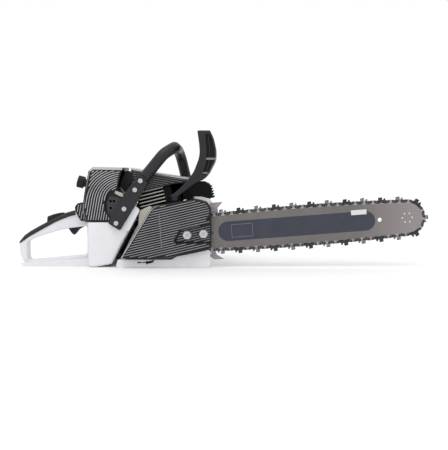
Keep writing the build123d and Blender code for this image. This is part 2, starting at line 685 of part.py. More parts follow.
def bar_nuts():
    nuts = []
    for reach in STUD_REACH:
        x, z = on_bar(reach, 0)
        nut = hexagon(x, z, 16, -89, -82.5) + post(x, z, 10, -82.5, -80)
        nuts.append(nut - post(x, z, 4, -92, -78))
    return group(nuts)


def tensioner():
    x, z = on_bar(80, -18)
    screw = rod((x - 24, -70, z), (x + 20, -70, z), 2.5)
    pin = post(x, z, 2.9, -70, -60)
    return screw + pin + block((x - 5, x + 5), (-74, -67), (z - 5, z + 5))


# ---------------------------------------------------------------- bar and chain

def bar_face(inset=0):
    root = 60.0
    half_rail = RAIL_MIDDLE - inset
    upper = ThreePointArc((root, RAIL_ROOT - inset), (300, half_rail), (NOSE_CENTRE, NOSE_RADIUS - inset))
    nose = ThreePointArc((NOSE_CENTRE, NOSE_RADIUS - inset), (NOSE_CENTRE + NOSE_RADIUS - inset, 0),
                         (NOSE_CENTRE, inset - NOSE_RADIUS))
    lower = ThreePointArc((NOSE_CENTRE, inset - NOSE_RADIUS), (300, -half_rail), (root, inset - RAIL_ROOT))
    tail = FilletPolyline((root, inset - RAIL_ROOT), (27 + inset, inset - 21), (27 + inset, 21 - inset),
                          (root, RAIL_ROOT - inset), radius=10 - inset / 2)
    return make_face([upper, nose, lower, tail])


def in_bar(profile, y_low, y_high):
    plane = Plane.XZ.offset(-y_high)
    solid = extrude(plane * profile, amount=y_high - y_low, dir=(0, -1, 0))
    return BAR * solid


def guide_bar():
    half = BAR_THICKNESS / 2
    groove = GROOVE_WIDTH / 2
    bar = in_bar(bar_face(), -half, half)
    bar -= in_bar(bar_face(), -groove, groove) - in_bar(bar_face(GROOVE_DEPTH), -1, 1)
    bar -= BAR * post(NOSE_CENTRE, 0, 31, -groove, groove)
    bar -= in_bar(Pos(80, 0) * SlotOverall(78, 8.6), -5, 5)
    bar -= BAR * post(80, -18, 3, -5, 5)
    bar -= BAR * post(40, 18, 3, -5, 5)
    bar -= BAR * post(482.5, 0, 4.5, -5, 5)
    for angle in range(0, 360, 60):
        bar -= BAR * nose_rivet(angle, 1.8, 5)
    return bar


def nose_rivet(angle, radius, half):
    x = NOSE_CENTRE + 10.5 * math.cos(math.radians(angle))
    z = 10.5 * math.sin(math.radians(angle))
    return post(x, z, radius, -half, half)


def nose_sprocket():
    half = 0.75
    wheel = ring(NOSE_CENTRE, 0, 26.5, 14, -half, half)
    for index in range(11):
        angle = math.radians(index * 360 / 11)
        wheel -= post(NOSE_CENTRE + 28 * math.cos(angle), 28 * math.sin(angle), 4.2, -half, half)
    hub = post(NOSE_CENTRE, 0, 13.5, -GROOVE_WIDTH / 2, GROOVE_WIDTH / 2)
    for angle in range(0, 360, 60):
        hub += nose_rivet(angle, 1.8, BAR_THICKNESS / 2 + 0.1)
    return group([BAR * wheel, BAR * hub])


def chain_path():
    rail = RIVET_HEIGHT
    root = (60.0, RAIL_ROOT + rail)
    distance = math.hypot(*root)
    touch = math.atan2(root[1], root[0]) + math.acos(SPROCKET_PITCH_RADIUS / distance)
    half_way = (touch + math.pi) / 2

    def on_sprocket(angle, side):
        radius = SPROCKET_PITCH_RADIUS
        return radius * math.cos(angle), side * radius * math.sin(angle)

    tip = NOSE_RADIUS + rail
    wrap = ThreePointArc(on_sprocket(touch, -1), (-SPROCKET_PITCH_RADIUS, 0), on_sprocket(touch, 1))
    rise = Line(on_sprocket(touch, 1), root)
    top = ThreePointArc(root, (300, RAIL_MIDDLE + rail), (NOSE_CENTRE, tip))
    nose = ThreePointArc((NOSE_CENTRE, tip), (NOSE_CENTRE + tip, 0), (NOSE_CENTRE, -tip))
    under = ThreePointArc((NOSE_CENTRE, -tip), (300, -RAIL_MIDDLE - rail), (root[0], -root[1]))
    fall = Line((root[0], -root[1]), on_sprocket(touch, -1))
    return [wrap, rise, top, nose, under, fall]


def rivet_points():
    edges = chain_path()
    lengths = [edge.length for edge in edges]
    count = DRIVE_LINKS * 2
    step = sum(lengths) / count
    points = []
    for index in range(count):
        reach = index * step
        edge = 0
        while reach > lengths[edge]:
            reach -= lengths[edge]
            edge += 1
        point = edges[edge] @ (reach / lengths[edge])
        points.append((point.X, point.Y))
    return points


def link_places():
    points = rivet_points()
    places = []
    for index, (x, z) in enumerate(points):
        next_x, next_z = points[(index + 1) % len(points)]
        angle = math.degrees(math.atan2(next_z - z, next_x - x))
        span = math.hypot(next_x - x, next_z - z)
        places.append(((x + next_x) / 2, (z + next_z) / 2, angle, span))
    return places


def link(profile, place, y_low, y_high):
    x, z, angle, span = place
    plane = Plane.XZ.offset(-y_high)
    solid = extrude(plane * profile(span), amount=y_high - y_low, dir=(0, -1, 0))
    return BAR * Pos(x, 0, z) * Rot(0, -angle, 0) * solid


def with_holes(profile, span):
    for side in (-1, 1):
        profile -= Pos(side * span / 2, 0) * Circle(1.9)
    return profile


def drive_profile(span):
    shape = [(-7.6, -2.6), (-7.6, 2.8), (7.6, 2.8), (7.6, -2.6), (4.4, -4.2), (1.6, -8), (-2.6, -8),
             (-5.4, -4.2)]
    return with_holes(outline(shape, [2, 2, 2, 2, 0, 1, 1, 0]), span)


def slot_profile(span):
    return SlotCenterToCenter(span, 6.8)


def strap_profile(span):
    return with_holes(slot_profile(span), span)


def cutter_profile(span):
    shape = [(-8.2, -3.2), (8.2, -3.2), (8.2, 2), (7.2, 7.2), (4.2, 7.4), (3.0, 3.4), (0.6, 4.2),
             (0.4, 9.6), (-8.0, 8.6), (-8.2, 2)]
    return with_holes(outline(shape, [2.4, 2.4, 2, 1, 1, 1, 1, 0, 1, 2]), span)


def cutter_top(span):
    return outline([(-8.0, 7.2), (0.4, 8.2), (0.4, 9.6), (-8.0, 8.6)])


def drive_links():
    return group([link(drive_profile, place, -0.8, 0.8) for place in link_places()[::2]])


def tie_straps():
    straps = []
    for index, place in enumerate(link_places()[1::2]):
        far = index % 4 != 2
        straps.append(link(slot_profile, place, *((0.8, 2.3) if far else (-2.3, -0.8))) + rivet_pair(place))
        if index % 2 == 1:
            straps.append(link(strap_profile, place, -2.3, -0.8))
    return group(straps)


def rivet_pair(place):
    x, z, angle, span = place
    pair = []
    for side in (-1, 1):
        shank = post(side * span / 2, 0, 1.9, -2.3, 2.3)
        heads = post(side * span / 2, 0, 2.7, -2.9, -2.3) + post(side * span / 2, 0, 2.7, 2.3, 2.9)
        pair.append(BAR * Pos(x, 0, z) * Rot(0, -angle, 0) * (shank + heads))
    return pair


def cutters():
    teeth = []
    for index, place in enumerate(link_places()[1::2]):
        if index % 4 == 0:
            teeth.append(link(cutter_profile, place, -2.3, -0.8) + link(cutter_top, place, -4, 1))
        if index % 4 == 2:
            teeth.append(link(cutter_profile, place, 0.8, 2.3) + link(cutter_top, place, -1, 4))
    return group(teeth)


def chain_catcher():
    return post(92, 20.2, 3, -69, -60) + block((86, 98), (-68, -60), (17, 20.2))


def bumper_spikes():
    plate = [(97, 24), (101, 23), (114, 15.5), (134, 17), (119, 25.5), (113.5, 37), (119, 46), (113, 52),
             (113, 100), (119, 106), (113, 112), (121, 117), (120, 129), (131, 142), (106, 140), (98, 128),
             (98, 112), (106, 106), (106, 44), (97, 38)]
    spikes = slab(plate, -54, -50)
    for x, z in SPIKE_BOLTS:
        spikes -= post(x, z, 2.5, -55, -49)
    return spikes


# ---------------------------------------------------------------- hand guard

def hand_guard():
    face = GUARD_REAR + GUARD_FRONT
    bends = GUARD_REAR_BENDS + GUARD_FRONT_BENDS
    near_arm = slab(face, -78, -70, bends)
    far_arm = slab(face, 76, 84, bends)
    near_arm = fillet([edge for edge in flat_edges(near_arm, -78) if along(GUARD_REAR[1:], edge)], 3)
    far_arm = fillet([edge for edge in flat_edges(far_arm, 84) if along(GUARD_REAR[1:], edge)], 3)
    arm = near_arm + far_arm
    inner = [(98.5, 296.5), (106, 280), (111.3, 257), (111.3, 235), (99, 211)]
    arm += slab(GUARD_FRONT[:5] + inner[::-1], -70, 76, [0, 40, 40, 40, 0, 0, 35, 35, 35, 0])
    shelf = [(84, 240), (113, 240), (113, 256), (107.5, 278), (100, 296.5), (78, 296.5), (83, 266)]
    for y in (-44, -18, 8, 34, 58):
        arm += slab(shelf, y, y + 3)
    # the near arm is a channel, open to the clutch side and stiffened by thin ribs
    channel = [(94, 289), (103, 289), (108.5, 277), (113.5, 256), (113.5, 235), (102.5, 212), (92, 197),
               (88, 206), (95.5, 228), (96.5, 255)]
    arm -= slab(channel, -80, -73.5, [2, 2, 10, 10, 10, 0, 3, 5, 20, 20])
    bent = [(99, 290), (101, 290), (104, 256), (102.5, 226), (94.5, 200), (93, 202), (100.7, 226),
            (102.3, 256)]
    stiffeners = slab(bent, -77.3, -73.5)
    stiffeners += block((90, 116), (-77.7, -73.5), (233.5, 238))
    stiffeners += block((84, 100), (-77.7, -73.5), (204, 207))
    arm += stiffeners & slab(face, -78, -70, bends)
    for low, high in ((-78, -70), (76, 84)):
        arm += post(GUARD_X, GUARD_Z, 6.5, low, high)
    return arm - post(GUARD_X, GUARD_Z, 4.05, -80, 90)


def pivot_pins():
    trigger = post(-186, 93, 2.5, -14, 14)
    lockout = post(-229, 108, 2.0, -14, 14)
    near = post(GUARD_X, GUARD_Z, 4, -78.1, -46.5) + post(GUARD_X, GUARD_Z, 5.5, -79.6, -78.1)
    far = post(GUARD_X, GUARD_Z, 4, 66, 86) + post(GUARD_X, GUARD_Z, 7, 86, 88)
    return group([trigger, lockout, near, far])


# ---------------------------------------------------------------- starter side

def starter_housing():
    cup = slab(STARTER, CASE_HALF + 2, HOUSING_FACE, 8)
    cup = fillet(flat_edges(cup, HOUSING_FACE), 5)
    cup -= inner_slab(STARTER, 3, CASE_HALF + 2, HOUSING_FACE - 3, 8)
    for index in range(7):
        z = 36 + index * 11
        cup -= block((-44, -16 if abs(z - 67) > 20 else -34), (80, 100), (z, z + 5))
        cup -= block((18 if abs(z - 67) < 20 else 0, 34), (80, 100), (z, z + 5))
    cup += post(CRANK_X, CRANK_Z, 6, 72, HOUSING_FACE - 3)
    ear = [(16, 120), (40, 120), (38, 154), (33, 161), (23, 161), (18, 154)]
    cup += slab(ear, 66, 75, [0, 0, 6, 6, 6, 6]) - inner_slab(STARTER, 3, 60, 80, 8)
    cup -= post(GUARD_X, GUARD_Z, 4, 60, 90)
    cup -= rod((CRANK_X - 20, 77, 100), (CRANK_X - 20, 77, 140), 3.4)
    cup -= CYLINDER * block((-45, 50), (-50, 48), (50, 140))
    return cup - block((8, 38), (48, 58), (124, 142))


def flywheel():
    wheel = post(CRANK_X, CRANK_Z, 46, 42, 47) + post(CRANK_X, CRANK_Z, 15, 42, 60)
    for index in range(18):
        blade = CRANK * Rot(0, index * 20, 0) * Pos(34, 53, 0) * Box(22, 12, 2)
        wheel += blade
    wheel -= post(CRANK_X, CRANK_Z, SHAFT_RADIUS, 30, 80)
    nut = hexagon(CRANK_X, CRANK_Z, 19, 60, 65) - post(CRANK_X, CRANK_Z, SHAFT_RADIUS, 50, 80)
    return group([wheel, nut])


def starter_pulley():
    reel = post(CRANK_X, CRANK_Z, 28, 73, 81) - ring(CRANK_X, CRANK_Z, 30, 17, 75, 79)
    reel -= post(CRANK_X, CRANK_Z, 6.05, 70, 90)
    wound_rope = ring(CRANK_X, CRANK_Z, 24, 17, 75, 79)
    return group([reel, wound_rope])


def rewind_spring():
    return ring(CRANK_X, CRANK_Z, 30, 12, 83, 90.9)


def starter_grip():
    x = CRANK_X - 20
    grip = block((x - 14, x + 14), (70, 84), (136, 148))
    return fillet(grip.edges().filter_by(Axis.Z), 5) + rod((x, 77, 92), (x, 77, 136), 2)


def oil_cap():
    return post(80, 46, 15, CASE_HALF + 0.3, 46) + post(80, 46, 10.7, 30, CASE_HALF + 0.3)


NODES = {
    "tank_housing": tank_housing,
    "handle_grip": handle_grip,
    "throttle_trigger": throttle_trigger,
    "throttle_lockout": throttle_lockout,
    "throttle_rod": throttle_rod,
    "stop_switch": stop_switch,
    "fuel_cap": fuel_cap,
    "fuel_pickup": fuel_pickup,
    "av_mounts": av_mounts,
    "handlebar": handlebar,
    "body_screws": body_screws,
    "filter_cover": filter_cover,
    "filter_knob": filter_knob,
    "air_filter": air_filter,
    "carb_box": carb_box,
    "adjuster_grommet": adjuster_grommet,
    "carburettor": carburettor,
    "throttle_shaft": throttle_shaft,
    "intake_boot": intake_boot,
    "crankcase_right": crankcase_right,
    "crankcase_left": crankcase_left,
    "main_bearings": main_bearings,
    "crankshaft": crankshaft,
    "piston": piston,
    "piston_rings_and_pin": piston_rings_and_pin,
    "connecting_rod": connecting_rod,
    "cylinder": cylinder,
    "spark_plug": spark_plug,
    "plug_boot": plug_boot,
    "ignition_coil": ignition_coil,
    "ignition_lead": ignition_lead,
    "muffler": muffler,
    "cylinder_shroud": cylinder_shroud,
    "decompression_valve": decompression_valve,
    "decompression_button": decompression_button,
    "oil_pump": oil_pump,
    "clutch_shoes": clutch_shoes,
    "clutch_drum": clutch_drum,
    "drum_bearing": drum_bearing,
    "rim_sprocket": rim_sprocket,
    "brake_band": brake_band,
    "clutch_cover": clutch_cover,
    "bar_studs": bar_studs,
    "bar_nuts": bar_nuts,
    "tensioner": tensioner,
    "guide_bar": guide_bar,
    "nose_sprocket": nose_sprocket,
    "drive_links": drive_links,
    "tie_straps": tie_straps,
    "cutters": cutters,
    "chain_catcher": chain_catcher,
    "bumper_spikes": bumper_spikes,
    "hand_guard": hand_guard,
    "pivot_pins": pivot_pins,
    "starter_housing": starter_housing,
    "flywheel": flywheel,
    "starter_pulley": starter_pulley,
    "rewind_spring": rewind_spring,
    "starter_grip": starter_grip,
    "oil_cap": oil_cap,
}

os.makedirs("parts", exist_ok=True)
for name, make in NODES.items():
    export_step(make(), f"parts/{name}.step")
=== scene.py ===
"""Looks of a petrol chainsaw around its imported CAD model. Metres, X towards the bar tip, Z up."""

import math

import bpy
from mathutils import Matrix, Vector
from mathutils.bvhtree import BVHTree


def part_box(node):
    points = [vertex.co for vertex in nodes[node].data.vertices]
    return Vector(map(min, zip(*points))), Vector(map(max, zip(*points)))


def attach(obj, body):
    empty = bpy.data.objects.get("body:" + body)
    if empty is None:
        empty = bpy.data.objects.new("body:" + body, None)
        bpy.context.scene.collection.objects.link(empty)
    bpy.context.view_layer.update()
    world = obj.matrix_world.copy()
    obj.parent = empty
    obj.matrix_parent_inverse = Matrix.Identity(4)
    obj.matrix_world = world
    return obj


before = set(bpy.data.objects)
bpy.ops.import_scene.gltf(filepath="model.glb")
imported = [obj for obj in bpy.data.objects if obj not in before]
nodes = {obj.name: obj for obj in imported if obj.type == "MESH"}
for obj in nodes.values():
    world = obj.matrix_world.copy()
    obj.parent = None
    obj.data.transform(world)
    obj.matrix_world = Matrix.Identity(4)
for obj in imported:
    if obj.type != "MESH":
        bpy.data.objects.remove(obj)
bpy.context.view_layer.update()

# The camera: straight at the clutch side, a little above, aimed at the middle of the saw
AIM = Vector((0.134, -0.062, 0.092))
DISTANCE = 1.704
ELEVATION = math.radians(4.0)
VIEW_WIDTH = 0.981
SENSOR = 36.0

# Places on the saw: the crank centre, where the bar starts from, and faces across the saw
CRANK = Vector((-0.008, 0.0, 0.067))
BAR_LEAN = math.radians(4.35)
CYLINDER_LEAN = math.radians(14)
BAR_FACE = -0.06435
BAR_MIDDLE = -0.062
COVER_FACE = -0.090
FLANGE_FACE = -0.042
CHANNEL_FLOOR = -0.0735
FIN_TIPS = 0.0455
STRAP_FACE = 0.00245

# Ridges: how level the face has to be, how far out, and how large a step ends a ridge
LEVEL = 0.97
OUTERMOST = 0.025
STEP = 0.0003

PRINT_THICKNESS = 0.0001
SAW_MIDDLE = (0.1, 0, 0.1)


# ---------------------------------------------------------------- materials

def material(name, colour, roughness=0.5, metallic=0.0, bump=0.0, bump_scale=900.0, coat=0.0, specular=0.5,
             wear=0.0):
    mat = bpy.data.materials.new(name)
    mat.use_nodes = True
    tree = mat.node_tree
    shader = tree.nodes["Principled BSDF"]
    shader.inputs["Base Color"].default_value = (*colour, 1)
    shader.inputs["Roughness"].default_value = roughness
    shader.inputs["Metallic"].default_value = metallic
    shader.inputs["Coat Weight"].default_value = coat
    shader.inputs["Specular IOR Level"].default_value = specular
    if bump:
        grain(tree, shader, bump, bump_scale)
    if wear:
        blotches(tree, shader, colour, wear)
    return mat


def grain(tree, shader, strength, scale):
    place = tree.nodes.new("ShaderNodeTexCoord")
    noise = tree.nodes.new("ShaderNodeTexNoise")
    noise.inputs["Scale"].default_value = scale
    noise.inputs["Detail"].default_value = 3.0
    bump = tree.nodes.new("ShaderNodeBump")
    bump.inputs["Strength"].default_value = strength
    bump.inputs["Distance"].default_value = 0.0003
    tree.links.new(place.outputs["Object"], noise.inputs["Vector"])
    tree.links.new(noise.outputs["Fac"], bump.inputs["Height"])
    tree.links.new(bump.outputs["Normal"], shader.inputs["Normal"])


def blotches(tree, shader, colour, wear):
    """Slow variation of colour and roughness, as handling and dust leave it."""
    place = tree.nodes.new("ShaderNodeTexCoord")
    noise = tree.nodes.new("ShaderNodeTexNoise")
    noise.inputs["Scale"].default_value = 28.0
    noise.inputs["Detail"].default_value = 5.0
    ramp = tree.nodes.new("ShaderNodeValToRGB")
    low, high = ramp.color_ramp.elements
    low.position, high.position = 0.35, 0.7
    low.color = (*[c * (1 - wear) for c in colour], 1)
    high.color = (*[min(1.0, c * (1 + wear)) for c in colour], 1)
    spread = tree.nodes.new("ShaderNodeMapRange")
    spread.inputs["To Min"].default_value = shader.inputs["Roughness"].default_value * 0.85
    spread.inputs["To Max"].default_value = shader.inputs["Roughness"].default_value * 1.2
    tree.links.new(place.outputs["Object"], noise.inputs["Vector"])
    tree.links.new(noise.outputs["Fac"], ramp.inputs["Fac"])
    tree.links.new(noise.outputs["Fac"], spread.inputs["Value"])
    tree.links.new(ramp.outputs["Color"], shader.inputs["Base Color"])
    tree.links.new(spread.outputs["Result"], shader.inputs["Roughness"])


def brushed(mat, scale, strength):
    """Fine scratches that run along the bar."""
    tree = mat.node_tree
    shader = tree.nodes["Principled BSDF"]
    place = tree.nodes.new("ShaderNodeTexCoord")
    turn = tree.nodes.new("ShaderNodeMapping")
    turn.inputs["Rotation"].default_value = (0, BAR_LEAN, 0)
    turn.inputs["Scale"].default_value = (6, 60, scale)
    noise = tree.nodes.new("ShaderNodeTexNoise")
    noise.inputs["Scale"].default_value = 1.0
    noise.inputs["Detail"].default_value = 4.0
    bump = tree.nodes.new("ShaderNodeBump")
    bump.inputs["Strength"].default_value = strength
    bump.inputs["Distance"].default_value = 0.0002
    tree.links.new(place.outputs["Object"], turn.inputs["Vector"])
    tree.links.new(turn.outputs["Vector"], noise.inputs["Vector"])
    tree.links.new(noise.outputs["Fac"], bump.inputs["Height"])
    tree.links.new(bump.outputs["Normal"], shader.inputs["Normal"])


def painted_highlight_tip(mat, start, end, colour):
    """Blend to another colour between two places along X; here a painted highlight towards the bar's nose.
    """
    tree = mat.node_tree
    shader = tree.nodes["Principled BSDF"]
    before = shader.inputs["Base Color"].links[0].from_socket
    place = tree.nodes.new("ShaderNodeTexCoord")
    split = tree.nodes.new("ShaderNodeSeparateXYZ")
    spread = tree.nodes.new("ShaderNodeMapRange")
    spread.inputs["From Min"].default_value = start
    spread.inputs["From Max"].default_value = end
    blend = tree.nodes.new("ShaderNodeMix")
    blend.data_type = "RGBA"
    factor, first, second = blend.inputs[0], blend.inputs[6], blend.inputs[7]
    second.default_value = (*colour, 1)
    tree.links.new(place.outputs["Object"], split.inputs["Vector"])
    tree.links.new(split.outputs["X"], spread.inputs["Value"])
    tree.links.new(spread.outputs["Result"], factor)
    tree.links.new(before, first)
    tree.links.new(blend.outputs[2], shader.inputs["Base Color"])


WHITE = material("white_plastic", (0.70, 0.70, 0.735), 0.38, bump=0.12, coat=0.15, wear=0.025)
CAST_WHITE = material("white_casting", (0.72, 0.72, 0.75), 0.48, bump=0.5, bump_scale=420, wear=0.04)
CREAM = material("cream_casting", (0.60, 0.58, 0.49), 0.5, bump=0.5, bump_scale=420, wear=0.06)
BLACK = material("black_plastic", (0.009, 0.009, 0.011), 0.45, bump=0.35, specular=0.28, wear=0.25)
GUARD = material("guard_plastic", (0.012, 0.012, 0.015), 0.40, bump=0.3, specular=0.33, wear=0.2)
GUARD_CHANNEL_SHADE = material("guard_channel_painted_shade", (0.006, 0.006, 0.007), 0.5, bump=0.3, specular=0.2)
GUARD_RIB_GLINT = material("guard_rib", (0.17, 0.17, 0.18), 0.35, bump=0.2)
SATIN = material("black_paint", (0.011, 0.011, 0.014), 0.42, bump=0.12, specular=0.38, wear=0.2)
MUFFLER_BLACK_AND_SHADE = material("muffler_paint_and_painted_shade", (0.005, 0.005, 0.006), 0.6, bump=0.6, bump_scale=600, specular=0.14,
                wear=0.3)
RUBBER = material("black_rubber", (0.014, 0.014, 0.016), 0.6, bump=0.6, specular=0.4, wear=0.2)
GREY_RUBBER = material("grey_rubber", (0.036, 0.036, 0.042), 0.55, bump=0.3, specular=0.35)
BOOT_RUBBER = material("boot_rubber", (0.022, 0.022, 0.025), 0.55, bump=0.4, specular=0.35)
STEEL = material("steel", (0.42, 0.42, 0.44), 0.28, 1.0, wear=0.1)
BRIGHT = material("bright_steel", (0.50, 0.51, 0.53), 0.22, 1.0, wear=0.1)
CHAIN = material("chain_steel", (0.30, 0.29, 0.30), 0.34, 0.8, wear=0.25)
CHAIN_DARK = material("chain_dark", (0.022, 0.021, 0.023), 0.45, 0.3, wear=0.3)
CUTTER = material("cutter_steel", (0.24, 0.235, 0.24), 0.28, 0.9, wear=0.15)
CUTTER_DARK = material("cutter_dark", (0.030, 0.029, 0.031), 0.4, 0.4, wear=0.3)
BAR_STEEL = material("bar_steel", (0.165, 0.153, 0.148), 0.42, 0.7, wear=0.06)
SPIKE = material("spike_steel", (0.30, 0.27, 0.29), 0.42, 0.8, wear=0.1)
ALUMINIUM = material("aluminium", (0.45, 0.44, 0.41), 0.42, 0.9, bump=0.4, wear=0.1)
FIN_DARK = material("fin_dark", (0.006, 0.006, 0.006), 0.6, bump=0.4, specular=0.12)
FIN_TIP_HIGHLIGHT = material("fin_tip_highlight", (0.50, 0.49, 0.45), 0.4, 0.5, wear=0.2)
FELT = material("filter_felt", (0.55, 0.52, 0.40), 0.9, bump=0.8)
CERAMIC = material("ceramic", (0.80, 0.79, 0.75), 0.2)
RESIN = material("coil_resin", (0.02, 0.02, 0.03), 0.4)
GLOSS_BLACK = material("cover_black", (0.007, 0.007, 0.009), 0.36, bump=0.15, specular=0.26, wear=0.2)
COVER_RIDGE = material("cover_ridge", (0.27, 0.27, 0.28), 0.32, bump=0.1, wear=0.1)
FILTER_RIDGE = material("filter_ridge", (0.42, 0.42, 0.44), 0.32, bump=0.1, wear=0.1)
SHROUD_RIDGE = material("shroud_ridge", (0.13, 0.13, 0.135), 0.32, bump=0.1, wear=0.1)
# painted highlight for rounded edges, a pale painted sheen for the covers' roofs
EDGE_HIGHLIGHT = material("painted_edge_highlight", (0.55, 0.55, 0.57), 0.28, 0.2)
ROOF_SHEEN = material("painted_roof_sheen", (0.34, 0.34, 0.36), 0.3, bump=0.1, coat=0.2, wear=0.08)
NUT_FLANGE = material("nut_flange", (0.17, 0.175, 0.19), 0.35, 0.9, wear=0.15)
RIVET_STEEL = material("rivet_steel", (0.62, 0.60, 0.59), 0.3, 0.7)
SLATE = material("panel_slate", (0.036, 0.040, 0.058), 0.5, bump=0.15, wear=0.1, specular=0.35)
PALE_LINE = material("panel_line", (0.20, 0.21, 0.25), 0.5)
STICKER = material("sticker_white", (0.62, 0.62, 0.63), 0.45)
brushed(BAR_STEEL, 900, 0.35)
# painted highlight: the bar steel turns lighter towards the nose
painted_highlight_tip(BAR_STEEL, 0.42, 0.55, (0.27, 0.245, 0.245))
brushed(CHAIN, 500, 0.2)

FINISH = {
    WHITE: ["tank_housing"],
    CAST_WHITE: ["crankcase_right", "crankcase_left"],
    BLACK: ["throttle_trigger", "throttle_lockout", "stop_switch", "fuel_cap", "oil_cap", "filter_knob",
            "carb_box", "starter_grip", "starter_housing", "starter_pulley", "decompression_button",
            "pivot_pins"],
    GUARD: ["hand_guard"],
    SATIN: ["handlebar"],
    MUFFLER_BLACK_AND_SHADE: ["muffler"],
    RUBBER: ["handle_grip", "intake_boot", "av_mounts", "fuel_pickup", "ignition_lead"],
    BOOT_RUBBER: ["plug_boot"],
    GREY_RUBBER: ["adjuster_grommet"],
    STEEL: ["crankshaft", "connecting_rod", "piston_rings_and_pin", "bar_studs", "main_bearings",
            "throttle_rod", "rewind_spring", "tensioner", "drum_bearing", "rim_sprocket", "clutch_drum",
            "clutch_shoes", "brake_band", "throttle_shaft", "decompression_valve", "chain_catcher"],
    BRIGHT: ["body_screws", "bar_nuts"],
    CHAIN: ["tie_straps"],
    CHAIN_DARK: ["drive_links"],
    CUTTER: ["cutters"],
    BAR_STEEL: ["guide_bar", "nose_sprocket"],
    SPIKE: ["bumper_spikes"],
    ALUMINIUM: ["piston", "carburettor", "flywheel", "oil_pump"],
    FIN_DARK: ["cylinder"],
    FELT: ["air_filter"],
    CERAMIC: ["spark_plug"],
    RESIN: ["ignition_coil"],
    GLOSS_BLACK: ["clutch_cover", "filter_cover", "cylinder_shroud"],
}


def dress(obj, mat):
    obj.data.materials.clear()
    obj.data.materials.append(mat)


def paint(name, mat, chosen):
    """Give the faces of a CAD node that chosen(centre, normal) picks another material."""
    mesh = nodes[name].data
    mesh.materials.append(mat)
    index = len(mesh.materials) - 1
    for face in mesh.polygons:
        if chosen(face.center, face.normal):
            face.material_index = index


for mat, names in FINISH.items():
    for name in names:
        dress(nodes[name], mat)


def fin_side(centre):
    """True on the finned block of the cylinder, above its foot."""
    rise = (centre.z - CRANK.z) * math.cos(CYLINDER_LEAN)
    height = rise - (centre.x - CRANK.x) * math.sin(CYLINDER_LEAN)
    return height > 0.055


def on_guard_rib(centre):
    """True on the two short ribs across the channel of the hand guard."""
    in_channel = -0.0778 < centre.y < CHANNEL_FLOOR
    return in_channel and (0.232 < centre.z < 0.2385 or 0.203 < centre.z < 0.2075)


# painted light: a bright painted highlight down the rounded rear edge of the clutch cover and of the filter
# cover, a pale painted sheen on the rounded roofs, and painted highlights on the fin tips
paint("clutch_cover", EDGE_HIGHLIGHT,
      lambda c, n: n.x < -0.3 and n.y < -0.25 and c.x < -0.012 and c.y < COVER_FACE + 0.003)
paint("filter_cover", ROOF_SHEEN, lambda c, n: n.z > 0.25 and c.z > 0.209)
paint("filter_cover", EDGE_HIGHLIGHT, lambda c, n: n.x < -0.5 and c.x < -0.16 and abs(c.y) > 0.0625)
paint("cylinder_shroud", ROOF_SHEEN, lambda c, n: n.z > 0.3 and c.z > 0.186)
paint("cylinder", FIN_TIP_HIGHLIGHT, lambda c, n: abs(n.y) > 0.8 and abs(c.y) > FIN_TIPS and fin_side(c))
# painted shade: the casting is painted black round the guard's ear and in the gap behind it; it is bare on
# its rear shoulder
paint("crankcase_right", MUFFLER_BLACK_AND_SHADE,
      lambda c, n: 0.010 < c.x < 0.046 and c.y < FLANGE_FACE - 0.0005 and c.z > 0.111)
paint("crankcase_right", CREAM, lambda c, n: c.x < -0.020 and c.y < FLANGE_FACE - 0.0035 and c.z > 0.083)
# painted shade: the rear-facing faces of both crankcase halves in the gap before the tank are painted black
paint("crankcase_right", MUFFLER_BLACK_AND_SHADE, lambda c, n: n.x < -0.4 and c.z > 0.02 and c.y > FLANGE_FACE - 0.002)
paint("crankcase_left", MUFFLER_BLACK_AND_SHADE, lambda c, n: n.x < -0.4 and c.z > 0.02)
# painted shade: the carburettor's near faces inside the housing are painted black
paint("carburettor", MUFFLER_BLACK_AND_SHADE, lambda c, n: c.y < -0.021)
# cutters dark on the near side, and dark rivets on the straps
paint("cutters", CUTTER_DARK, lambda c, n: c.y < BAR_MIDDLE - 0.0005 and n.y < -0.3)
paint("tie_straps", CHAIN_DARK, lambda c, n: abs(c.y - BAR_MIDDLE) > STRAP_FACE)
paint("nose_sprocket", RIVET_STEEL, lambda c, n: abs(c.y - BAR_MIDDLE) > STRAP_FACE - 0.00015)
paint("bar_nuts", NUT_FLANGE, lambda c, n: c.y > COVER_FACE + 0.0015)
# painted shade: the floor of the hand guard's channel is painted darker
paint("hand_guard", GUARD_CHANNEL_SHADE, lambda c, n: abs(c.y - CHANNEL_FLOOR) < 0.0002 and n.y < -0.9)
# painted glints: the two short ribs across the channel are painted pale grey
paint("hand_guard", GUARD_RIB_GLINT, lambda c, n: on_guard_rib(c) and n.y < -0.9)


# ---------------------------------------------------------------- ridges on the covers

def straight_family(box, angle, spacing, step=0.001):
    """Parallel lines at an angle across a box given as ((x, z), (x, z)), as lists of points."""
    (x0, z0), (x1, z1) = box
    along = Vector((math.cos(angle), math.sin(angle)))
    across = Vector((-math.sin(angle), math.cos(angle)))
    middle = Vector(((x0 + x1) / 2, (z0 + z1) / 2))
    reach = math.hypot(x1 - x0, z1 - z0) / 2
    lines = []
    for index in range(-int(reach / spacing), int(reach / spacing) + 1):
        start = middle + across * index * spacing
        count = int(2 * reach / step)
        lines.append([start + along * (step * i - reach) for i in range(count + 1)])
    return lines


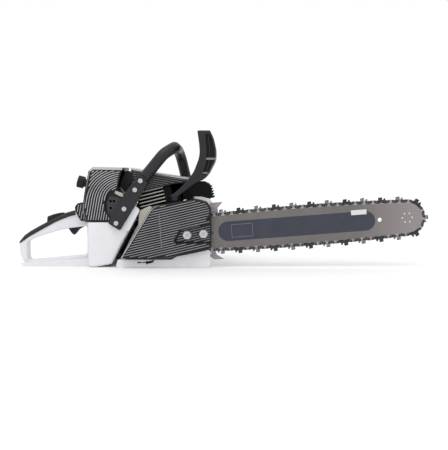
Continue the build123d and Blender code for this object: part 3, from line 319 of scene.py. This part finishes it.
def swept_family(count, corner, pitch, lean, foot, power=2.4, step=0.0015):
    """Nested lines that rise, leaning, and turn over to run level. corner is where they all turn about."""
    across, rise = pitch
    lines = []
    for index in range(2, count + 1):
        points = []
        height = foot
        while height < corner[1]:
            points.append(Vector((corner[0] + lean * (height - corner[1]) - across * index, height)))
            height += step
        steps = 24 + 5 * index
        for i in range(steps + 1):
            turn = math.pi / 2 * i / steps
            u = index * math.cos(turn) ** (2 / power) if i < steps else 0.0
            v = index * math.sin(turn) ** (2 / power)
            z = corner[1] + rise * v
            points.append(Vector((corner[0] + lean * (z - corner[1]) - across * u, z)))
        lines.append(points)
    return lines


def lay_ridges(name, node, lines, side, width, height, mat):
    """Raised ridges on the outer face of a node. They stop just before the face stops or steps."""
    mesh = nodes[node].data
    tree = BVHTree.FromPolygons([v.co for v in mesh.vertices], [p.vertices for p in mesh.polygons])
    verts = []
    faces = []
    for line in lines:
        for run in runs_on_face(tree, line, side):
            strip(verts, faces, run, side, width, height)
    return mesh_piece(name, verts, faces, mat)


def level_with(tree, start, hit, shift):
    """True when the face a little to one side is at the same height."""
    other = tree.ray_cast(start + shift, Vector((0, hit.y - start.y, 0)).normalized())[0]
    return other is not None and abs(other.y - hit.y) < STEP


def runs_on_face(tree, line, side, margin=0.0016):
    around = [Vector((x, 0, z)) for x, z in ((margin, 0), (-margin, 0), (0, margin), (0, -margin))]
    runs = []
    run = []
    for point in line:
        start = Vector((point.x, side * 0.2, point.y))
        hit, normal = tree.ray_cast(start, Vector((0, -side, 0)))[:2]
        flat = hit is not None and normal.y * side > LEVEL and abs(hit.y) > OUTERMOST
        flat = flat and all(level_with(tree, start, hit, shift) for shift in around)
        if flat:
            run.append(hit)
        if not flat and run:
            runs.append(run)
            run = []
    if run:
        runs.append(run)
    return [r for r in runs if len(r) > 5]


def strip(verts, faces, run, side, width, height):
    """One ridge with a flat top and sloping flanks, closed at both ends."""
    run = thin_out(run[1:-1])
    first = len(verts)
    for i, point in enumerate(run):
        before = run[max(i - 1, 0)]
        after = run[min(i + 1, len(run) - 1)]
        along = (after - before).normalized()
        across = Vector((-along.z, 0, along.x))
        out = Vector((0, side, 0))
        for offset, lift in ((-0.5, -0.2), (-0.3, 1.0), (0.3, 1.0), (0.5, -0.2)):
            verts.append(point + across * width * offset + out * height * lift)
    for i in range(len(run) - 1):
        for k in range(4):
            a = first + 4 * i + k
            b = first + 4 * i + (k + 1) % 4
            faces.append([a, b, b + 4, a + 4])
    last = first + 4 * (len(run) - 1)
    faces.append([first + 3, first + 2, first + 1, first])
    faces.append([last, last + 1, last + 2, last + 3])


def thin_out(run):
    """Keep only the points where the line turns."""
    kept = [run[0]]
    for i in range(1, len(run) - 1):
        turn = (run[i] - kept[-1]).angle(run[i + 1] - run[i])
        if turn > math.radians(1.5):
            kept.append(run[i])
    return kept + [run[-1]]


def mesh_piece(name, verts, faces, mat, body="chassis"):
    mesh = bpy.data.meshes.new(name)
    mesh.from_pydata([tuple(v) for v in verts], [], faces)
    mesh.update()
    obj = bpy.data.objects.new(name, mesh)
    bpy.context.scene.collection.objects.link(obj)
    dress(obj, mat)
    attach(obj, body)


def span(name):
    low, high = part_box(name)
    return (low[0], low[2]), (high[0], high[2])


cover_lines = straight_family(span("clutch_cover"), math.radians(13.2), spacing=0.00502)
shroud_lines = straight_family(span("cylinder_shroud"), math.radians(-10.5), spacing=0.0047)
filter_lines = swept_family(24, corner=(-0.082, 0.147), pitch=(0.0055, 0.0044), lean=0.187, foot=0.100)
lay_ridges("clutch_cover_ridges", "clutch_cover", cover_lines, -1, width=0.0016, height=0.0005,
           mat=COVER_RIDGE)
for side, word in ((-1, "near"), (1, "far")):
    lay_ridges("filter_ridges_" + word, "filter_cover", filter_lines, side, width=0.0018, height=0.0005,
               mat=FILTER_RIDGE)
    lay_ridges("shroud_ridges_" + word, "cylinder_shroud", shroud_lines, side, width=0.0015, height=0.0004,
               mat=SHROUD_RIDGE)


# ---------------------------------------------------------------- pieces on the bar

def on_bar(reach, height):
    along = Vector((math.cos(BAR_LEAN), 0, math.sin(BAR_LEAN)))
    up = Vector((-math.sin(BAR_LEAN), 0, math.cos(BAR_LEAN)))
    return CRANK + along * reach + up * height


def flat_panel(name, outline, y_face, thickness, mat, body="chassis"):
    """A thin closed plate. outline holds (x, z) points that run round it."""
    count = len(outline)
    verts = [(x, y_face - thickness, z) for x, z in outline] + [(x, y_face, z) for x, z in outline]
    faces = [list(range(count)), list(range(2 * count - 1, count - 1, -1))]
    for i in range(count):
        j = (i + 1) % count
        faces.append([i, i + count, j + count, j])
    mesh_piece(name, verts, faces, mat, body)


def oblong(start, end, half, lift=0.0, steps=14):
    """Round-ended outline between two reaches along the bar."""
    points = []
    for centre, first in ((end - half, -90), (start + half, 90)):
        for i in range(steps + 1):
            angle = math.radians(first + 180 * i / steps)
            point = on_bar(centre + half * math.cos(angle), lift + half * math.sin(angle))
            points.append((point.x, point.z))
    return points


def bar_rectangle(start, end, low, high):
    corners = [on_bar(start, low), on_bar(end, low), on_bar(end, high), on_bar(start, high)]
    return [(point.x, point.z) for point in corners]


def bar_print():
    """The dark panel on the bar, a plain frame round an empty field, and a blank sticker."""
    flat_panel("bar_panel", oblong(0.130, 0.4725, 0.0215), BAR_FACE, PRINT_THICKNESS, SLATE)
    printed_face = BAR_FACE - PRINT_THICKNESS
    left, right, half, line = 0.159, 0.205, 0.0141, 0.0006
    edges = [(left, right, half - line, half), (left, right, -half, line - half),
             (left, left + line, -half, half), (right - line, right, -half, half)]
    for index, (start, end, low, high) in enumerate(edges):
        flat_panel(f"panel_frame_{index}", bar_rectangle(start, end, low, high), printed_face,
                   PRINT_THICKNESS, PALE_LINE)
    sticker = bar_rectangle(0.421, 0.4545, 0.0145, 0.0250)
    flat_panel("bar_sticker", sticker, printed_face, PRINT_THICKNESS, STICKER)


bar_print()


def shade_sheets_and_intake():
    """Black sheets of painted shade in the gaps beside the cylinder and behind the crankcase, and the
    intake's bare metal.
    """
    flat_panel("gap_shade_sheet", [(-0.113, 0.008), (-0.100, 0.008), (-0.046, 0.104), (-0.062, 0.104)], 0.030,
               0.002, RUBBER)
    flat_panel("fin_shade_sheet", [(0.008, 0.130), (0.046, 0.138), (0.040, 0.186), (-0.004, 0.186)], -0.0440,
               0.001, FIN_DARK)
    flat_panel("intake_plate", [(-0.103, 0.167), (-0.104, 0.161), (-0.093, 0.155), (-0.086, 0.153),
                                (-0.086, 0.161)], -0.0585, 0.001, ALUMINIUM)


shade_sheets_and_intake()


def small_marks():
    """The seam down the clutch cover as a pale strip, a painted highlight, and the clip and bent lever low
    on the base.
    """
    # painted highlight: a pale strip along the crease of the clutch cover
    seam = [(-0.0052, 0.1185), (-0.0007, 0.0430), (0.0000, 0.0430), (-0.0045, 0.1185)]
    flat_panel("cover_seam_highlight", seam, -0.0899, 0.0006, COVER_RIDGE)
    clip = [(-0.054, 0.0095), (-0.054, 0.0125), (-0.045, 0.0120), (-0.045, 0.0100)]
    flat_panel("base_clip", clip, -0.0715, 0.0015, BLACK)
    lever = [(-0.043, 0.0100), (-0.036, 0.0105), (-0.0345, 0.0070), (-0.0325, 0.0070), (-0.0315, 0.0105),
             (-0.024, 0.0120), (-0.0185, 0.0160), (-0.0170, 0.0155), (-0.0215, 0.0105), (-0.0300, 0.0085),
             (-0.0310, 0.0135), (-0.0350, 0.0135), (-0.0355, 0.0120), (-0.043, 0.0115)]
    flat_panel("base_lever", lever, -0.0715, 0.0020, BLACK)


small_marks()


# ---------------------------------------------------------------- stage

def floor():
    bpy.ops.mesh.primitive_plane_add(size=12, location=(0, 0, -0.0002))
    plane = bpy.context.object
    plane.name = "floor"
    mat = material("floor", (0.84, 0.84, 0.84), 0.8, specular=0.2)
    shader = mat.node_tree.nodes["Principled BSDF"]
    shader.inputs["Emission Color"].default_value = (1, 1, 1, 1)
    shader.inputs["Emission Strength"].default_value = 0.02
    dress(plane, mat)


def area_light(name, location, size, power):
    light = bpy.data.lights.new(name, "AREA")
    light.energy = power
    light.size = size
    obj = bpy.data.objects.new(name, light)
    obj.location = location
    obj.rotation_euler = (Vector(SAW_MIDDLE) - Vector(location)).to_track_quat("-Z", "Y").to_euler()
    bpy.context.scene.collection.objects.link(obj)


def sky_light():
    """A broad, even light from above and a little in front."""
    light = bpy.data.lights.new("sky", "SUN")
    light.energy = 0.75
    light.angle = math.radians(40)
    obj = bpy.data.objects.new("sky", light)
    obj.rotation_euler = Vector((0.1, 0.35, -1)).to_track_quat("-Z", "Y").to_euler()
    bpy.context.scene.collection.objects.link(obj)


def camera():
    data = bpy.data.cameras.new("camera")
    data.sensor_width = SENSOR
    data.lens = SENSOR * DISTANCE / VIEW_WIDTH
    obj = bpy.data.objects.new("camera", data)
    look = Vector((0, math.cos(ELEVATION), -math.sin(ELEVATION)))
    obj.location = AIM - look * DISTANCE
    obj.rotation_euler = look.to_track_quat("-Z", "Y").to_euler()
    bpy.context.scene.collection.objects.link(obj)
    bpy.context.scene.camera = obj


floor()
camera()
area_light("key", (-0.6, -2.0, 1.9), size=1.6, power=6)
area_light("fill", (1.6, -1.8, 0.9), size=1.8, power=2)
sky_light()
world = bpy.data.worlds.new("world")
world.use_nodes = True
world.node_tree.nodes["Background"].inputs["Color"].default_value = (1, 1, 1, 1)
world.node_tree.nodes["Background"].inputs["Strength"].default_value = 1.0
bpy.context.scene.world = world
bpy.context.scene.view_settings.view_transform = "Standard"
